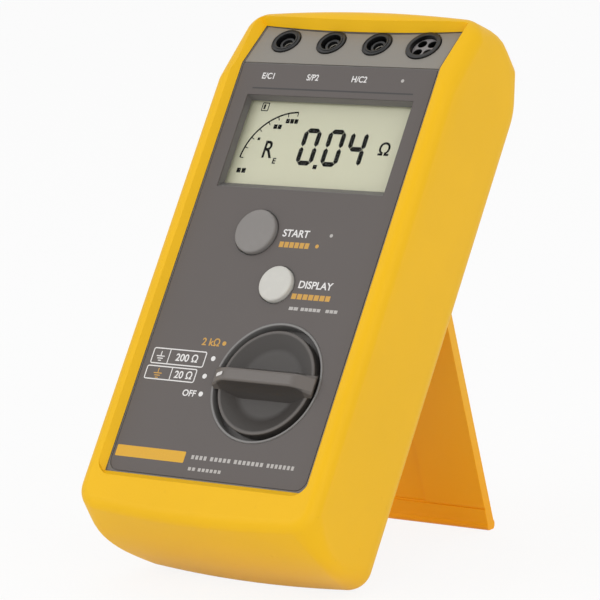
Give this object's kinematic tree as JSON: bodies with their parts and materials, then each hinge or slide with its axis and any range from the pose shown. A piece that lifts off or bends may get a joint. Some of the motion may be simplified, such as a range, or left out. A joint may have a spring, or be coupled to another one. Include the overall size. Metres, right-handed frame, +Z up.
{
  "type": "ground resistance tester",
  "caption": "Handheld ground resistance tester in a yellow moulded holster, standing on its opened tilt stand, with display, selector knob, two keys and a row of sockets.",
  "frame": {"origin": "middle of the whole tester on the floor, below its bounding box", "axes": "+X to the right across the face, +Y from the face to the back, +Z up"},
  "size_m": [0.11, 0.155, 0.2042],
  "materials": {
    "holster_plastic": "soft satin, yellow ochre",
    "stand_plastic": "satin, orange",
    "case_plastic": "fine-grained dark grey",
    "knob_plastic": "satin dark grey",
    "face_print": "printed film, dark warm grey",
    "socket_print": "printed film, light grey",
    "pane": "clear, slightly glossy",
    "crystal": "grey-green reflective panel",
    "frame_plastic": "plain off-white",
    "board": "green solder mask",
    "steel": "zinc plated",
    "contact_brass": "turned, plated",
    "seal_rubber": "moulded",
    "ribbon_film": "flexible film",
    "winding": "taped winding",
    "battery_jacket": "plain printed jacket",
    "start_key_rubber": "moulded, mid grey",
    "display_key_rubber": "moulded, pale grey"
  },
  "bodies": {
    "tester": {"holster": "holster_plastic", "front_case": "case_plastic", "rear_case": "case_plastic", "case_seal": "seal_rubber", "face_sheet": "face_print", "socket_sheet": "socket_print", "display_pane": "pane", "crystal_panel": "crystal", "crystal_frame": "frame_plastic", "contact_strips": "seal_rubber", "main_board": "board", "board_screws": "steel", "case_screws": "steel", "start_switch": "case_plastic", "display_switch": "case_plastic", "shaft_seal": "seal_rubber", "detent_spring": "steel", "left_socket": "case_plastic", "middle_socket": "case_plastic", "right_socket": "case_plastic", "accessory_socket": "case_plastic", "left_contact": "contact_brass", "middle_contact": "contact_brass", "right_contact": "contact_brass", "accessory_contacts": "contact_brass", "socket_board": "board", "ribbon": "ribbon_film", "measuring_chip": "case_plastic", "relays": "frame_plastic", "transformer": "winding", "buzzer": "case_plastic", "battery": "battery_jacket", "battery_snap": "case_plastic", "battery_door": "case_plastic", "door_screws": "steel"},
    "stand": {"tilt_stand": "stand_plastic"},
    "selector": {"selector_knob": "knob_plastic", "detent_rotor": "frame_plastic", "rotor_screw": "steel", "wiper_springs": "contact_brass"},
    "start_button": {"start_key": "start_key_rubber", "start_plunger": "case_plastic"},
    "display_button": {"display_key": "display_key_rubber", "display_plunger": "case_plastic"}
  },
  "joints": [
    {"name": "stand_fold", "type": "hinge", "parent": "tester", "child": "stand", "pos_m": [0, 0.03719, 0.11115], "axis": [1, 0, 0], "range_deg": [-49.5, 0]},
    {"name": "selector_turn", "type": "hinge", "parent": "tester", "child": "selector", "pos_m": [0.0138, -0.04386, 0.07728], "axis": [0, -0.8279, 0.5609], "range_deg": [-30, 15]},
    {"name": "start_press", "type": "slide", "parent": "tester", "child": "start_button", "axis": [0, 0.8279, -0.5609], "range_m": [0, 0.0012], "stiffness_N_per_m": 1500},
    {"name": "display_press", "type": "slide", "parent": "tester", "child": "display_button", "axis": [0, 0.8279, -0.5609], "range_m": [0, 0.001], "stiffness_N_per_m": 1500}
  ]
}
